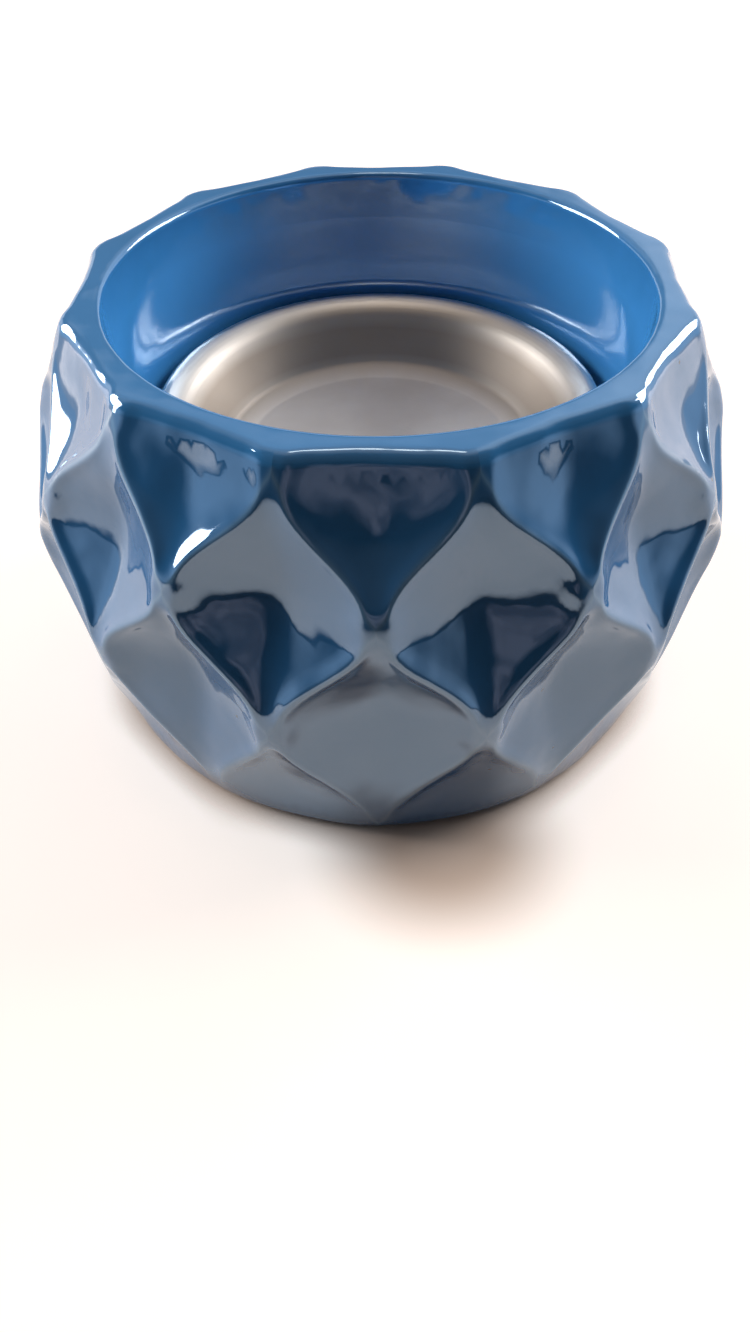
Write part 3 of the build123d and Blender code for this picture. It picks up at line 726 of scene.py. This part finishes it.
def make_world():
    """Room light by direction. Behind the warmer there is a wall, bright at its foot, dim above that and paler
    towards the ceiling, and white on the right. The viewer's side is dark with a faint figure in it, both sides have
    a cool glow low down, and a small lamp hangs overhead. The eye sees a plain white backdrop."""
    world = bpy.data.worlds.new("room")
    bpy.context.scene.world = world
    world.use_nodes = True
    tree = world.node_tree
    way = add_node(tree, "ShaderNodeTexCoord").outputs["Generated"]
    axes = split(tree, way)
    wall = ramp(tree, axes["Z"], (
        (0.0, (1.1, 1.07, 1.03)), (0.16, (1.1, 1.07, 1.03)), (0.24, (0.20, 0.17, 0.135)),
        (0.44, (0.20, 0.17, 0.135)), (0.52, (0.52, 0.49, 0.46)),
        (0.62, (0.44, 0.42, 0.40)), (0.72, (0.50, 0.47, 0.45)), (0.82, (0.42, 0.37, 0.33)),
        (0.92, (0.52, 0.43, 0.36)), (1.0, (0.62, 0.51, 0.43))))
    bright_side = ramp(tree, axes["X"], (
        (0.10, (0.0, 0.0, 0.0)), (0.25, (1.0, 1.0, 1.0)), (0.45, (1.0, 1.0, 1.0)), (0.80, (0.65, 0.65, 0.65))))
    wall = mix(tree, bright_side, wall, (1.0, 1.0, 1.0))
    front = ramp(tree, axes["Z"], (
        (0.0, (0.04, 0.036, 0.04)), (0.15, (0.02, 0.018, 0.02)), (0.45, (0.008, 0.007, 0.008)),
        (0.53, (0.035, 0.029, 0.025)), (0.70, (0.06, 0.05, 0.042)), (0.90, (0.10, 0.083, 0.07)),
        (1.0, (0.62, 0.51, 0.43))))
    shapes = add_node(tree, "ShaderNodeTexNoise", [("Vector", way)], Scale=5.0, Detail=2.0).outputs["Fac"]
    figure = ramp(tree, shapes, ((0.42, (0.16, 0.135, 0.155)), (0.60, (0.36, 0.30, 0.33))))
    viewer = spread(tree, towards(tree, way, (0.0, -0.988, 0.156)), 0.0, 1.0, 0.965, 0.985)
    front = mix(tree, viewer, front, figure)
    room = mix(tree, spread(tree, axes["Y"], 0.0, 1.0, -0.05, 0.25), front, wall)
    aside = add_node(tree, "ShaderNodeMath", [(0, axes["X"])], operation="ABSOLUTE").outputs["Value"]
    low = spread(tree, axes["Z"], 1.0, 0.0, 0.15, 0.40)
    glow = combine(tree, "MULTIPLY", spread(tree, aside, 0.0, 1.0, 0.80, 0.95), low)
    room = mix(tree, glow, room, (0.60, 0.74, 0.90))
    overhead = spread(tree, towards(tree, way, (0.0, 0.10, 0.995)), 0.0, 1.0, 0.994, 0.998)
    room = mix(tree, overhead, room, (6.0, 5.4, 4.6))
    eye = add_node(tree, "ShaderNodeLightPath").outputs["Is Camera Ray"]
    tree.links.new(mix(tree, eye, room, (1.0, 1.0, 1.0)), tree.nodes["Background"].inputs["Color"])


def make_camera():
    """Camera from the fit to the facet crossings: right, up and back axes from yaw, pitch and roll, turned round the
    warmer's axis by the spin."""
    yaw, pitch, roll, spin = -0.0022, 0.83212, -0.01239, -0.022
    focal, picture_height, sensor = 925, 1333, 36
    place = np.array([-1.79, -153.6, 150.4]) * MM
    turn = np.array([[math.cos(-spin), -math.sin(-spin), 0], [math.sin(-spin), math.cos(-spin), 0], [0, 0, 1]])
    right = np.array([math.cos(yaw), math.sin(yaw), 0])
    level = np.array([-math.sin(yaw), math.cos(yaw), 0])
    up = level * math.sin(pitch) + np.array([0, 0, math.cos(pitch)])
    ahead = level * math.cos(pitch) - np.array([0, 0, math.sin(pitch)])
    side = right * math.cos(roll) + up * math.sin(roll)
    top = -right * math.sin(roll) + up * math.cos(roll)
    basis = np.eye(4)
    basis[:3] = turn @ np.stack([side, top, -ahead, place], -1)
    lens = bpy.data.cameras.new("view")
    lens.sensor_fit = "AUTO"
    lens.sensor_width = sensor
    lens.lens = focal / picture_height * sensor
    lens.clip_start = 0.01
    camera = bpy.data.objects.new("view", lens)
    bpy.context.scene.collection.objects.link(camera)
    camera.matrix_world = mathutils.Matrix(basis.tolist())
    bpy.context.scene.camera = camera


make_floor()
make_world()
make_lamp("left_window", (-0.91, 0.22, 0.40), (0.58, 0.50), 11.5, (1.0, 0.99, 0.98))
make_lamp("right_window", (0.82, 0.40, 0.49), (0.54, 0.46), 10.0, (1.0, 0.99, 0.98))
make_camera()
bpy.context.scene.view_settings.view_transform = "Standard"
